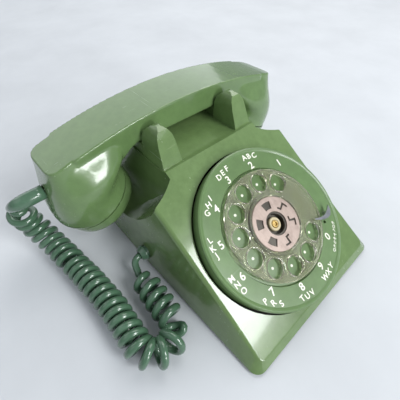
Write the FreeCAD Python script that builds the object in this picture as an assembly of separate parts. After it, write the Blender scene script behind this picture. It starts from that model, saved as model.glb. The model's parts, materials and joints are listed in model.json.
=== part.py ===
import FreeCAD, Part
import os
import math
from FreeCAD import Vector as V, Matrix, Placement, Rotation

os.makedirs("parts", exist_ok=True)

# ------------------------------------------------------------------ driving dimensions (mm)
# +Z up, +X to the right of someone facing the dial, -Y is the front. Work is laid out from
# the dial centre (y = 0) and moved by Y_SHIFT at export so the origin is the middle of the base.
Y_FRONT, Y_REAR = -50.8, 170.0      # base outline front and rear
Y_SHIFT = -0.5 * (Y_FRONT + Y_REAR)
FOOT_H = 2.0                        # housing lower edge above the table
BASE_HALF = 70.5                    # half width of the base outline
FACE_HALF = 61.5                    # half width of the sloping face
TILT = math.radians(31.2)           # slope of the dial face
DIAL_Z = 40.84                      # height of the dial centre, number plate floor level
FACE_DROP = 4.0                     # housing face lies this far under the number plate floor
NECK_HALF = 41.0                    # half width of the cradle neck
NECK_TOP = 71.0                     # cradle trough floor
WALL = 2.8                          # housing wall
SCOOP_Z = 30.0                      # floor of the hollows under the handset cups
HY = 106.5                          # handset centre line
HCX = 77.0                          # cup centre distance from the middle
CUP_R = 28.5                        # cup and cap radius
CAP_TILT = 25.0                     # cant of the caps, degrees
SEAM_Z = 44.0                       # centre of the seam between body and cap
CAP_H = 11.0                        # cap depth
HANDLE_HALF = 18.5                  # half width of the grip
CROWN_Z = 97.6                      # top of the grip
CROWN_R = 345.0                     # radius of the arched crown
GRIP_UNDER = 79.0                   # underside of the grip
WHEEL_R = 38.1                      # finger wheel
HOLE_R = 6.35                       # finger hole
HOLE_PCR = 29.4                     # finger hole circle
PLATE_R = 55.6                      # number plate
STOP_ANGLE = 121.0                  # finger stop, clockwise from the top of the dial
CORD_D = 5.0                        # cord jacket
COIL_D = 19.0                       # outside of the coiled stretch
LEAD_D = 5.2                        # uncoiled stretch

parts = {}


# ------------------------------------------------------------------ helpers
def box(x0, x1, y0, y1, z0, z1):
    return Part.makeBox(x1 - x0, y1 - y0, z1 - z0, V(x0, y0, z0))


def cyl(r, h, p=(0, 0, 0), d=(0, 0, 1)):
    return Part.makeCylinder(r, h, V(*p), V(*d))


def tube(r, ri, h, p=(0, 0, 0), d=(0, 0, 1)):
    return cyl(r, h, p, d).cut(cyl(ri, h, p, d))


def fuse(lst):
    s = lst[0]
    if len(lst) > 1:
        s = s.fuse(lst[1:])
    return s.removeSplitter()


def prism_yz(pts, x0, x1):
    w = Part.makePolygon([V(x0, y, z) for y, z in pts] + [V(x0, pts[0][0], pts[0][1])])
    return Part.Face(w).extrude(V(x1 - x0, 0, 0))


def prism_xz(pts, y0, y1):
    w = Part.makePolygon([V(x, y0, z) for x, z in pts] + [V(pts[0][0], y0, pts[0][1])])
    return Part.Face(w).extrude(V(0, y1 - y0, 0))


def prism_xy(pts, z0, z1):
    w = Part.makePolygon([V(x, y, z0) for x, y in pts] + [V(pts[0][0], pts[0][1], z0)])
    return Part.Face(w).extrude(V(0, 0, z1 - z0))


def revolve(profile, centre=(0, 0, 0)):
    w = Part.makePolygon([V(r, 0, z) for r, z in profile] + [V(profile[0][0], 0, profile[0][1])])
    s = Part.Face(w).revolve(V(0, 0, 0), V(0, 0, 1), 360)
    if s.Volume < 0:
        s.reverse()
    s.translate(V(*centre))
    return s


def to_dial(s):
    # local frame: x right, y up the slope, z outward normal, origin at the dial centre
    s = s.copy()
    s.rotate(V(0, 0, 0), V(1, 0, 0), math.degrees(TILT))
    s.translate(V(0, 0, DIAL_Z))
    return s


def clock(deg, r):
    a = math.radians(deg)
    return (r * math.sin(a), r * math.cos(a))


def safe_fillet(s, r, pick):
    edges = [e for e in s.Edges if pick(e)]
    if not edges:
        print("no edges for fillet", r)
        return s
    for k in (1.0, 0.7, 0.4):
        try:
            t = s.makeFillet(r * k, edges)
            if t.isValid() and t.Volume > 0.5 * s.Volume:
                return t
        except Exception:
            pass
    done = s
    print("fillet one by one", r, len(edges))
    for e in edges:
        c = e.CenterOfMass
        cand = [x for x in done.Edges if x.CenterOfMass.distanceToPoint(c) < 0.05]
        if cand:
            try:
                t = done.makeFillet(r * 0.7, cand[:1])
                if t.isValid():
                    done = t
            except Exception:
                pass
    return done


def mid(e):
    a, b = e.ParameterRange
    return e.valueAt(0.5 * (a + b))


# face plane height at y, for a plane moved down by d along its normal
def face_z(y, d=0.0):
    n = (-math.sin(TILT), math.cos(TILT))
    y0 = -(FACE_DROP + d) * n[0]
    z0 = DIAL_Z - (FACE_DROP + d) * n[1]
    return z0 + math.tan(TILT) * (y - y0)


# ------------------------------------------------------------------ housing
def hull(t):
    # outer body inset by t: wedge with sloping face, level cradle top, sloping rear wall
    fb = Y_FRONT + t
    zb = FOOT_H if t == 0 else FOOT_H - 0.5
    base = BASE_HALF - t * 1.1
    top = FACE_HALF - t * 1.1

    def sec(y, zt, hb, ht, yb=None):
        yb = y if yb is None else yb
        return [V(-hb, yb, zb), V(hb, yb, zb), V(ht, y, zt), V(-ht, y, zt)]

    a = sec(-47.0 + t, face_z(-47.0 + t, t), base - 3.0, top - 0.5, fb)
    b = sec(62.0, face_z(62.0, t), base, top)
    c = sec(151.0 - t, NECK_TOP + 2.7 - t, base, top)
    d = sec(166.0 - t, 34.0, base - 2.0, top + 2.0, Y_REAR - 1.5 - t)

    def solid(p, q):
        def face4(i, j, k, l):
            # planar when possible, otherwise a ruled surface
            w = Part.makePolygon([i, j, k, l, i])
            try:
                return Part.Face(w)
            except Exception:
                return Part.makeRuledSurface(Part.makeLine(i, j), Part.makeLine(l, k))
        w1 = Part.makePolygon(p + [p[0]])
        w2 = Part.makePolygon(q + [q[0]])
        return Part.makeLoft([w1, w2], True, True)
    s = solid(a, b)
    s2 = solid(b, c)
    s3 = solid(c, d)
    return fuse([s, s2, s3])


def trough(t):
    # level trough between the ears, cut below the sloping face's upper end
    z = NECK_TOP - t
    return prism_yz([(56.5, 90.0), (60.0 + t, face_z(60.0 + t, t) + 0.001), (66.0 + t, z), (170.0, z), (170.0, 140.0), (56.5, 140.0)], -90, 90)


def scoop(side, t):
    # hollow beside the neck under a handset cup: a bowl about the cup, open to the rear
    cx = side * HCX
    bowl = [(20.0, 0.0), (28.0, 1.5), (37.0, 6.0), (45.0, 12.0), (53.0, 20.0), (59.0, 27.0), (62.0, 32.5)]
    grow = (0.3, 0.55, 0.72, 0.75, 0.8, 0.9, 1.0)
    drop = (1.0, 0.85, 0.7, 0.65, 0.6, 0.5, 0.3)
    prof = [(0.0, SCOOP_Z - t)] + [(r + t * g, SCOOP_Z + z - t * d) for (r, z), g, d in zip(bowl, grow, drop)] + [(62.0 + t, 110.0), (0.0, 110.0)]
    cone = revolve(prof, (cx, HY, 0.0))
    under = prism_yz([(HY, SCOOP_Z - t), (150.0, SCOOP_Z - t), (190.0, SCOOP_Z - t - 8.0), (190.0, 110.0), (HY, 110.0)], cx - 58.0, cx + 58.0)
    c = cone.fuse(under).removeSplitter()
    nh = NECK_HALF - t
    z0, z1 = SCOOP_Z - t, 110.0
    if side > 0:
        keep = prism_xz([(nh, z1), (nh + 0.5, 64.0), (nh + 3.0, 50.0), (nh + 8.0, 40.0), (nh + 16.0, z0 + 3.0), (nh + 24.0, z0), (140.0, z0), (140.0, z1)], -20, 200)
    else:
        keep = prism_xz([(-nh, z1), (-nh - 0.5, 64.0), (-nh - 3.0, 50.0), (-nh - 8.0, 40.0), (-nh - 16.0, z0 + 3.0), (-nh - 24.0, z0), (-140.0, z0), (-140.0, z1)], -20, 200)
    return c.common(keep)


def ear(side, front):
    # cradle ear: upright tab, leaning face, rounded top
    if front:
        p = [(60.5, 66.0), (62.0, 70.0), (69.5, 89.0), (72.0, 93.0), (76.0, 94.6), (80.5, 93.6), (85.0, 89.5), (86.6, 84.0), (86.8, 66.0)]
    else:
        m = 2 * HY
        p = [(m - 62.0, 66.0), (m - 63.0, 72.0), (m - 67.5, 80.5), (m - 71.0, 84.6), (m - 76.0, 86.8), (m - 81.0, 86.8), (m - 85.0, 84.6), (m - 86.6, 80.6), (m - 86.8, 66.0)]
    s = prism_yz(p, 0.0, 60.0)
    if front:
        side_pts = [(25.2, 60.0), (NECK_HALF, 60.0), (NECK_HALF - 0.2, 71.0), (39.2, 85.0), (38.2, 89.6), (36.2, 92.6), (33.6, 94.4), (31.0, 94.4), (28.6, 92.8), (26.8, 89.8), (26.0, 85.0)]
    else:
        side_pts = [(25.2, 60.0), (NECK_HALF, 60.0), (NECK_HALF - 0.2, 71.0), (39.6, 78.0), (38.4, 82.6), (36.2, 85.6), (33.6, 87.0), (31.0, 87.0), (28.6, 85.4), (26.6, 82.4), (25.8, 78.0)]
    trim = prism_xz(side_pts, 40, 180)
    s = s.common(trim)
    if side < 0:
        s = s.mirror(V(0, 0, 0), V(1, 0, 0))
    return s


outer = hull(0.0)
outer = safe_fillet(outer, 9.0, lambda e: mid(e).y < -45 and abs(mid(e).x) > 55 and e.Length < 12)
for sd in (-1, 1):
    outer = outer.cut(scoop(sd, 0.0))
outer = outer.cut(trough(0.0))
outer = outer.removeSplitter()
print("outer", outer.isValid(), outer.Volume, len(outer.Edges), len(outer.Solids))


def long_top(e):
    m = mid(e)
    return abs(abs(m.x) - FACE_HALF) < 2.0 and m.y < 44 and e.Length > 30 and abs(m.z - face_z(m.y)) < 3


outer = safe_fillet(outer, 3.0, long_top)
outer = safe_fillet(outer, 2.5, lambda e: mid(e).y < -43 and abs(mid(e).x) < 5 and mid(e).z > 5 and e.Length > 60)
ears = [ear(sd, fr) for sd in (-1, 1) for fr in (True, False)]
saddles = [box(28.0, NECK_HALF - 0.6, 84.0, 2 * HY - 84.0, 66.0, 78.7), box(-NECK_HALF + 0.6, -28.0, 84.0, 2 * HY - 84.0, 66.0, 78.7)]
outer = fuse([outer] + ears + saddles)
print("outer+ears", outer.isValid(), outer.Volume, len(outer.Solids))

inner = hull(WALL)
for sd in (-1, 1):
    inner = inner.cut(scoop(sd, WALL))
inner = inner.cut(trough(WALL))
print("inner", inner.isValid(), inner.Volume, len(inner.Solids))
shell = outer.cut(inner)
# round opening for the dial
shell = shell.cut(to_dial(cyl(PLATE_R + 1.4, 30.0, (0, 0, -16.0))))
# plunger holes in the saddles, cord slots low in the left side and the rear
PL_X, PL_R = 34.5, 3.0
for sd in (-1, 1):
    shell = shell.cut(cyl(PL_R + 0.35, 40.0, (sd * PL_X, HY, 50.0)))
# bosses for the three housing screws
BOSS = [(-54.0, -39.0, 9.5), (54.0, -39.0, 9.5), (0.0, 150.0, 60.0)]
for bx, by, bz in BOSS:
    b = tube(4.5, 1.75, 90.0, (bx, by, 5.25)).common(outer)
    shell = shell.fuse(b)
shell = shell.removeSplitter()
LEFT_CORD = (-70.0, 57.1, 13.3)
REAR_CORD = (30.0, 168.0, 9.5)
shell = shell.cut(cyl(4.6, 24.0, (-82.0, LEFT_CORD[1], LEFT_CORD[2]), (1, 0, 0)))
shell = shell.cut(cyl(5.1, 24.0, (REAR_CORD[0], 156.0, REAR_CORD[2]), (0, 1, 0)))
print("shell", shell.isValid(), shell.Volume, len(shell.Solids))
parts["housing_shell"] = shell

# ------------------------------------------------------------------ base
plate_pts = [(-60.0, -44.0), (60.0, -44.0), (65.0, -36.0), (65.0, 154.0), (60.0, 161.0), (-60.0, 161.0), (-65.0, 154.0), (-65.0, -36.0)]
base = prism_xy(plate_pts, 3.6, 5.2)
rim = prism_xy(plate_pts, 3.6, 6.0).cut(prism_xy([(x * 0.975, y * 0.975 + 1.4) for x, y in plate_pts], 3.0, 9.0))
base = base.fuse(rim).removeSplitter()
base = base.common(hull(WALL + 0.5)).removeSplitter()
FEET = [(-50.0, -18.0), (50.0, -18.0), (-52.0, 148.0), (52.0, 148.0)]
for fx, fy in FEET:
    base = base.cut(cyl(3.0, 5.0, (fx, fy, 2.5)))
for bx, by, bz in BOSS:
    base = base.cut(cyl(2.2, 6.0, (bx, by, 2.0)))
    base = base.cut(cyl(4.8, 2.0, (bx, by, 5.2)))
# slots for the loudness wheel rim and ventilation
VW = (38.0, 112.0)
base = base.cut(box(VW[0] - 4.2, VW[0] + 4.2, VW[1] - 14.0, VW[1] + 14.0, 2.0, 9.0))
for i in range(5):
    base = base.cut(box(-20.0 + i * 8.0, -16.5 + i * 8.0, 70.0, 96.0, 2.0, 5.6))
base = base.cut(box(REAR_CORD[0] - 7.0, REAR_CORD[0] + 7.0, 158.0, 168.0, 2.0, 9.0))
parts["base_plate"] = base

feet = []
for fx, fy in FEET:
    feet.append(revolve([(0.0, 0.0), (6.6, 0.0), (7.4, 1.0), (7.6, 3.6), (3.0, 3.6), (3.0, 5.2), (4.4, 5.2), (3.6, 6.8), (0.0, 6.8)], (fx, fy, 0.0)))
parts["rubber_feet"] = Part.makeCompound(feet)

scr = []
for bx, by, bz in BOSS:
    ln = min(bz - 5.5, 12.0)
    s = revolve([(0.0, 2.2), (2.9, 2.2), (3.6, 3.6), (1.7, 3.6), (1.7, 5.5 + ln * 0.6), (0.0, 5.5 + ln * 0.6)], (bx, by, 0.0))
    s = s.cut(box(bx - 3.0, bx + 3.0, by - 0.5, by + 0.5, 1.5, 3.0))
    scr.append(s)
parts["housing_screws"] = Part.makeCompound(scr)

# ------------------------------------------------------------------ dial, local frame
# number plate: floor under the wheel, raised digit ring, rounded rim, skirt into the housing
np_prof = [(9.0, -1.8), (9.0, 0.0), (39.6, 0.0), (40.2, 1.6), (52.2, 2.3), (53.0, 2.9), (54.2, 3.1), (55.1, 2.7), (PLATE_R, 1.6), (PLATE_R, -6.5),
           (53.8, -6.5), (53.8, -0.4), (41.0, -1.0), (38.6, -1.8)]
plate = revolve(np_prof)
stop_foot = (40.6, -17.9)
sa = math.radians(STOP_ANGLE)
sr = V(math.sin(sa), math.cos(sa), 0)          # outward along the stop
st = V(math.cos(sa), -math.sin(sa), 0)         # across it
plate = plate.cut(cyl(1.6, 10.0, (stop_foot[0], stop_foot[1], -4.0)))
hole2 = (36.6, -22.6)
plate = plate.cut(cyl(1.1, 10.0, (hole2[0], hole2[1], -4.0)))
screw_xy = [clock(a, 13.0) for a in (75, 195, 315)]
for x, y in screw_xy:
    plate = plate.cut(cyl(1.6, 8.0, (x, y, -4.0)))
parts["number_plate"] = to_dial(plate)

# white index dots under the finger holes, flush studs
dots = []
for k in range(10):
    x, y = clock(45.0 - 30.0 * k, 29.1)
    dots.append(cyl(0.95, 0.25, (x, y, 0.0)))
parts["index_dots"] = to_dial(Part.makeCompound(dots))

# dial frame behind the plate, with three posts that carry the plate
frame_disc = cyl(36.0, 1.8, (0, 0, -7.0)).cut(cyl(4.0, 4.0, (0, 0, -8.0)))
posts = [cyl(3.0, 3.4, (x, y, -5.2)) for x, y in screw_xy]
dframe = fuse([frame_disc] + posts)
for x, y in screw_xy:
    dframe = dframe.cut(cyl(1.3, 8.0, (x, y, -7.5)))
# opening through which the pulse gear and governor posts are seen, and back plate with three legs
back = cyl(30.0, 1.6, (0, 0, -18.6))
legs = [cyl(2.0, 10.0, (x * 2.1, y * 2.1, -17.0)) for x, y in screw_xy]
# local x = 0 relief so the two plates stay one solid through the legs
dframe = fuse([dframe, back.cut(cyl(2.05, 4.0, (0, 0, -20.0)))] + legs)
GOV = clock(255.0, 24.375)
CAM = clock(15.0, 24.75)
dframe = dframe.cut(cyl(1.05, 30.0, (CAM[0], CAM[1], -25.5)))
dframe = dframe.cut(cyl(1.05, 30.0, (GOV[0], GOV[1], -25.5)))
parts["dial_frame"] = to_dial(dframe)
dscrews = []
for x, y in screw_xy:
    dscrews.append(revolve([(0, -0.6), (0, 0.0), (0.0, 0.9), (1.4, 0.9), (2.4, 0.2), (2.4, 0.0), (1.25, 0.0), (1.25, -6.4), (0, -6.4)], (x, y, 0)))
parts["dial_screws"] = to_dial(Part.makeCompound(dscrews))

# finger wheel: clear disc, raised rims round the ten holes, raised inner ring, open middle
wheel = revolve([(19.2, 1.5), (37.4, 1.5), (WHEEL_R, 2.1), (WHEEL_R, 3.8), (37.5, 4.4), (36.3, 4.4), (35.9, 3.6), (21.6, 3.6), (21.2, 4.6), (19.6, 4.6), (19.2, 4.0)])
rims = []
hub_web = revolve([(16.2, 1.5), (19.3, 1.5), (19.3, 2.6), (16.2, 2.6)])
for k in range(10):
    x, y = clock(45.0 - 30.0 * k, HOLE_PCR)
    rims.append(revolve([(HOLE_R - 0.4, 3.0), (HOLE_R + 1.15, 3.0), (HOLE_R + 1.1, 4.1), (HOLE_R + 0.7, 4.35), (HOLE_R + 0.2, 4.3), (HOLE_R - 0.4, 3.9)], (x, y, 0)))
wheel = fuse([wheel, hub_web] + rims)
for k in range(10):
    x, y = clock(45.0 - 30.0 * k, HOLE_PCR)
    wheel = wheel.cut(cyl(HOLE_R, 6.0, (x, y, 0.0)))
    wheel = wheel.cut(Part.makeCone(HOLE_R + 0.5, HOLE_R, 0.6, V(x, y, 1.45), V(0, 0, 1)))
parts["finger_wheel"] = to_dial(wheel)

# stamped centre plate with slots
cp = revolve([(8.2, 2.7), (18.3, 2.7), (18.6, 2.9), (18.6, 3.3), (18.3, 3.5), (8.2, 3.5)])


def sector(r0, r1, a0, a1, z0, z1):
    pts = []
    n = 6
    for i in range(n + 1):
        a = a0 + (a1 - a0) * i / n
        pts.append(clock(a, r1))
    for i in range(n + 1):
        a = a1 + (a0 - a1) * i / n
        pts.append(clock(a, r0))
    return prism_xy(pts, z0, z1)


for a in (6.0, -61.0, -125.0):
    cp = cp.cut(sector(10.4, 15.6, a - 14, a + 14, 2.0, 5.0))
for a in (60.0, 112.0, 180.0):
    cp = cp.cut(sector(10.2, 11.5, a - 15, a + 3, 2.0, 5.0))
    cp = cp.cut(sector(10.2, 16.0, a - 3, a + 3, 2.0, 5.0))
    cp = cp.cut(sector(14.7, 16.0, a - 3, a + 15, 2.0, 5.0))
parts["centre_plate"] = to_dial(cp)
# cup behind the centre plate, joined to the hub
cup = revolve([(2.55, -4.9), (4.9, -4.9), (4.9, -2.6), (8.15, -2.6), (8.15, 1.5), (16.2, 1.5), (16.2, 2.7), (6.9, 2.7), (6.9, -1.4), (2.55, -1.4)])
parts["wheel_hub"] = to_dial(cup)
bush = revolve([(2.55, -1.4), (4.8, -1.4), (4.8, 1.2), (4.2, 1.9), (3.2, 1.9), (2.55, 1.2)])
parts["hub_bushing"] = to_dial(bush)
shaft = revolve([(0, -18.2), (2.0, -18.2), (2.0, -12.0), (2.55, -12.0), (2.55, 1.5), (2.2, 2.0), (1.5, 2.0), (1.3, 0.8), (0, 0.8)])
parts["dial_shaft"] = to_dial(shaft)


def gear(r, n, depth, z0, z1, bore):
    pts = []
    for i in range(n):
        a = 2 * math.pi * i / n
        p = 2 * math.pi / n
        for f, rr in ((-0.25, r - depth), (-0.13, r + depth * 0.9), (0.13, r + depth * 0.9), (0.25, r - depth)):
            pts.append((rr * math.cos(a + f * p), rr * math.sin(a + f * p)))
    g = prism_xy(pts, z0, z1)
    return g.cut(cyl(bore, z1 - z0 + 2, (0, 0, z0 - 1)))


# main gear and pulse pinion in mesh, axes 24.75 apart
N_MAIN, N_CAM, N_GOV = 55, 11, 10
MAIN_R = 24.75 * N_MAIN / (N_MAIN + N_CAM)
CAM_R = 24.75 - MAIN_R
mg = gear(MAIN_R, N_MAIN, 0.75, -11.6, -10.0, 2.55)
# tooth of the main gear turned onto the line of centres
ang_cam = 90.0 - 15.0
mg.rotate(V(0, 0, 0), V(0, 0, 1), ang_cam)
for k in range(5):
    a = ang_cam + 36 + 72 * k
    mg = mg.cut(cyl(3.6, 6.0, (12.0 * math.cos(math.radians(a)), 12.0 * math.sin(math.radians(a)), -13.0)))
parts["main_gear"] = to_dial(mg)
barrel = revolve([(2.55, -10.0), (9.0, -10.0), (9.0, -7.4), (8.2, -7.4), (8.2, -9.3), (2.55, -9.3)])
parts["spring_barrel"] = to_dial(barrel)
sp = []
for i in range(0, 41):
    a = i / 40.0 * 2 * math.pi * 2.6
    r = 3.6 + 3.6 * i / 40.0
    sp.append(V(r * math.cos(a), r * math.sin(a), -9.1))
bs = Part.BSplineCurve()
bs.interpolate(sp)
outl = []
for i in range(0, 41):
    a = i / 40.0 * 2 * math.pi * 2.6
    r = 3.9 + 3.6 * i / 40.0
    outl.append(V(r * math.cos(a), r * math.sin(a), -9.1))
bs2 = Part.BSplineCurve()
bs2.interpolate(outl)
f = Part.Face(Part.Wire([bs.toShape(), Part.makeLine(sp[-1], outl[-1]), bs2.toShape(), Part.makeLine(outl[0], sp[0])]))
parts["return_spring"] = to_dial(f.extrude(V(0, 0, 1.4)))

cg = gear(CAM_R, N_CAM, 0.75, -11.6, -10.0, 1.0)
cg.rotate(V(0, 0, 0), V(0, 0, 1), ang_cam + 180.0 + 180.0 / N_CAM)
cg.translate(V(CAM[0], CAM[1], 0))
parts["pulse_pinion"] = to_dial(cg)
camw = cyl(5.2, 1.6, (0, 0, -14.0)).fuse(box(4.0, 7.0, -1.4, 1.4, -14.0, -12.4)).fuse(box(-7.0, -4.0, -1.4, 1.4, -14.0, -12.4)).removeSplitter()
camw = camw.cut(cyl(1.0, 6.0, (0, 0, -15.0)))
camw.translate(V(CAM[0], CAM[1], 0))
parts["pulse_cam"] = to_dial(camw)
parts["pulse_arbor"] = to_dial(cyl(1.0, 12.4, (CAM[0], CAM[1], -18.2)))

# governor: arbor with a pinion on the main gear, crossbar and two weights, fixed drum round them
GOV_R = MAIN_R * N_GOV / N_MAIN
gov = revolve([(0.0, -18.2), (1.0, -18.2), (1.0, -5.8), (0.0, -5.8)])
gpin = gear(GOV_R, N_GOV, 0.75, -11.6, -10.0, 0.9)
line = 90.0 - 255.0
pitch = 360.0 / N_MAIN
off = (ang_cam - line) % pitch
if off > pitch / 2:
    off -= pitch
gpin.rotate(V(0, 0, 0), V(0, 0, 1), line + 180.0 + 180.0 / N_GOV - off * N_MAIN / N_GOV)
bar = box(-6.6, 6.6, -1.6, 1.6, -13.6, -12.4)
wts = [box(3.6, 6.9, -2.6, 2.6, -16.2, -13.6), box(-6.9, -3.6, -2.6, 2.6, -16.2, -13.6)]
gv = fuse([gov, gpin, bar] + wts)
gv.translate(V(GOV[0], GOV[1], 0))
parts["governor"] = to_dial(gv)
parts["governor_drum"] = to_dial(tube(9.2, 8.2, 4.4, (GOV[0], GOV[1], -17.0)))

# pulse contacts: leaf stack hung from the frame beside the cam
er = V(math.sin(math.radians(15)), math.cos(math.radians(15)), 0)
pcs = [box(-20.0, -12.0, 31.2, 35.9, -15.2, -7.0)]
for r0 in (32.4, 33.8, 35.2):
    pcs.append(box(-13.0, 6.0, r0, r0 + 0.35, -14.6, -12.0))
pcs = fuse(pcs)
pcs.rotate(V(0, 0, 0), V(0, 0, 1), -15.0)
parts["pulse_contacts"] = to_dial(pcs)

# bright hooked finger stop standing over the wheel
zc = 5.3
stop_xy = [(26.6, -14.2), (27.0, -15.7), (30.2, -17.7), (33.2, -19.3), (37.0, -20.3), (40.6, -20.2), (43.4, -17.6), (44.4, -13.6), (41.6, -15.4), (38.0, -17.0), (34.4, -17.2), (30.2, -15.9)]
sf = prism_xy(stop_xy, zc, zc + 1.0)
stem = Part.makeCylinder(1.55, zc + 1.8, V(stop_foot[0], stop_foot[1], -1.6))
fs = sf.fuse(stem).removeSplitter()
parts["finger_stop"] = to_dial(fs)

# bracket carrying the dial frame on the base plate
cross = Part.makeBox(94.0, 10.0, 1.4, V(-47.0, -5.0, -20.0))
cross = to_dial(cross)
ll = []
for sx in (-1, 1):
    yc, zcb = 20.0 * math.sin(TILT), DIAL_Z - 20.0 * math.cos(TILT)
    ll.append(box(sx * 42.0 - 5.0, sx * 42.0 + 5.0, yc - 2.2, yc + 2.2, 5.2, zcb + 0.6))
bracket = fuse([cross] + ll)
parts["dial_bracket"] = bracket

# ------------------------------------------------------------------ network, ringer, switch
net = box(-36.0, 28.0, 62.0, 78.0, 5.2, 30.0)
for i in range(4):
    net = net.cut(box(-32.0 + 16.0 * i, -30.0 + 16.0 * i, 61.0, 79.0, 28.6, 31.0))
parts["network_block"] = net
terms = []
for i in range(6):
    for j in range(2):
        terms.append(revolve([(0, 30.0), (2.2, 30.0), (2.2, 31.4), (1.6, 32.0), (0, 32.0)], (-29.0 + 10.4 * i, 66.0 + 8.0 * j, 0)))
parts["terminal_screws"] = Part.makeCompound(terms)

GX = (-30.0, 13.0)                  # gong centres
GY, GZ = 122.0, 32.0
rf = fuse([box(-46.0, 24.0, 104.0, 141.0, 5.2, 6.8), box(-14.0, -3.0, 138.2, 141.0, 6.8, 26.4)])
for gx in GX:
    rf = rf.cut(cyl(2.05, 50.0, (gx, GY, 0)))
parts["ringer_frame"] = rf
parts["ringer_coil"] = revolve([(3.0, 7.0), (9.4, 7.0), (9.4, 8.2), (8.4, 8.2), (8.4, 16.6), (9.4, 16.6), (9.4, 17.8), (3.0, 17.8)], (-8.5, 123.0, 0))
parts["ringer_core"] = cyl(3.0, 12.4, (-8.5, 123.0, 6.8))


def gong(x, y, z, r):
    g = revolve([(2.05, 6.0), (r * 0.45, 5.6), (r * 0.8, 3.6), (r * 0.97, 0.0), (r, -7.5), (r - 1.1, -7.5), (r * 0.97 - 1.1, -0.2), (r * 0.8 - 0.7, 2.5), (r * 0.45, 4.5), (2.05, 4.8)])
    g.translate(V(x, y, z))
    return g


parts["gong_left"] = gong(GX[0], GY, GZ, 15.5)
parts["gong_right"] = gong(GX[1], GY, GZ, 15.5)
gp = []
for gx in GX:
    gp.append(revolve([(0, 5.2), (2.0, 5.2), (2.0, 6.8), (3.2, 6.8), (3.2, GZ + 4.8), (2.0, GZ + 4.8), (2.0, GZ + 6.0), (3.4, GZ + 6.0), (3.4, GZ + 7.6), (0, GZ + 7.6)], (gx, GY, 0)))
parts["gong_posts"] = Part.makeCompound(gp)

# clapper: armature over the core, upright rod and ball between the gong rims
PVX, PVY = -8.5, 135.1
clap = fuse([cyl(1.9, 4.6, (PVX, PVY, 19.8)), box(PVX - 1.6, PVX + 1.6, 130.0, 134.0, 20.6, 22.4), box(PVX - 5.5, PVX + 5.5, 116.0, 131.0, 20.6, 22.4),
             box(PVX - 0.9, PVX + 0.9, 113.0, 117.0, 20.6, 22.4), cyl(0.9, 7.6, (PVX, 114.0, 20.6)), Part.makeSphere(2.5, V(PVX, 114.0, 28.6))])
clap = clap.cut(cyl(1.24, 12.0, (PVX, PVY, 16.0)))
parts["clapper"] = clap
parts["clapper_pivot"] = fuse([cyl(1.2, 9.0, (PVX, PVY, 17.6)), box(PVX - 2.6, PVX + 2.6, 133.4, 138.2, 17.6, 19.2), box(PVX - 2.6, PVX + 2.6, 133.4, 138.2, 25.0, 26.4)])

vw = cyl(12.0, 3.0, (VW[0] - 1.5, VW[1], 14.2), (1, 0, 0))
for i in range(24):
    a = 2 * math.pi * i / 24
    vw = vw.cut(cyl(0.8, 5.0, (VW[0] - 2.5, VW[1] + 12.3 * math.cos(a), 14.2 + 12.3 * math.sin(a)), (1, 0, 0)))
vw = vw.cut(cyl(2.04, 6.0, (VW[0] - 3.0, VW[1], 14.2), (1, 0, 0)))
parts["volume_wheel"] = vw
vb = fuse([box(VW[0] - 6.0, VW[0] - 4.6, VW[1] - 6.0, VW[1] + 6.0, 5.2, 19.0), box(VW[0] + 4.6, VW[0] + 6.0, VW[1] - 6.0, VW[1] + 6.0, 5.2, 19.0), cyl(2.0, 12.0, (VW[0] - 6.0, VW[1], 14.2), (1, 0, 0))])
parts["volume_bracket"] = vb

# hook switch: bail lever lifted by the plungers
hb = fuse([box(-30.0, 30.0, 84.0, 98.0, 5.2, 6.8), box(-30.0, -28.4, 84.0, 98.0, 6.8, 46.0), box(28.4, 30.0, 84.0, 98.0, 6.8, 46.0)])
parts["hook_bracket"] = hb
HP = (88.0, 42.0)
lever = fuse([cyl(1.6, 60.0, (-30.0, HP[0], HP[1]), (1, 0, 0)),
              box(-37.0, -31.2, 86.4, 109.0, 41.0, 43.0), box(31.2, 37.0, 86.4, 109.0, 41.0, 43.0),
              cyl(1.6, 5.0, (-35.0, HP[0], HP[1]), (1, 0, 0)), cyl(1.6, 5.0, (30.0, HP[0], HP[1]), (1, 0, 0)),
              box(-24.0, -20.0, 72.0, 89.0, 41.2, 42.8)])
parts["hook_lever"] = lever
parts["hook_bracket"] = hb.cut(cyl(1.64, 80.0, (-40.0, HP[0], HP[1]), (1, 0, 0)))
hc = fuse([box(-26.0, -16.0, 79.4, 83.4, 5.2, 34.0)] + [box(-25.0 + 3.0 * i, -24.4 + 3.0 * i, 79.8, 83.0, 34.0, 37.6) for i in range(3)])
parts["hook_contacts"] = hc
for nm, sx in (("plunger_left", -1), ("plunger_right", 1)):
    p = revolve([(0, 44.2), (2.4, 44.2), (2.4, 45.0), (PL_R, 45.0), (PL_R, 77.8), (2.4, 78.7), (0, 78.7)], (sx * PL_X, HY, 0))
    parts[nm] = p

# cord bushings in the housing wall
parts["handset_cord_bushing"] = revolve([(2.9, 0), (4.5, 0), (4.5, 6.4), (6.0, 6.4), (6.0, 7.8), (4.2, 11.0), (2.9, 11.0)])
b = parts["handset_cord_bushing"]
b.rotate(V(0, 0, 0), V(0, 1, 0), -90)
b.translate(V(-63.6, LEFT_CORD[1], LEFT_CORD[2]))
b = revolve([(2.6, 0), (4.95, 0), (4.95, 8.0), (6.2, 8.0), (6.2, 8.9), (4.4, 9.4), (2.6, 9.4)])
b.rotate(V(0, 0, 0), V(1, 0, 0), -90)
b.translate(V(REAR_CORD[0], 160.6, REAR_CORD[2]))
parts["line_cord_inlet"] = b

# ------------------------------------------------------------------ handset
def crown_z(x):
    return CROWN_Z - (CROWN_R - math.sqrt(CROWN_R ** 2 - x * x))


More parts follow.
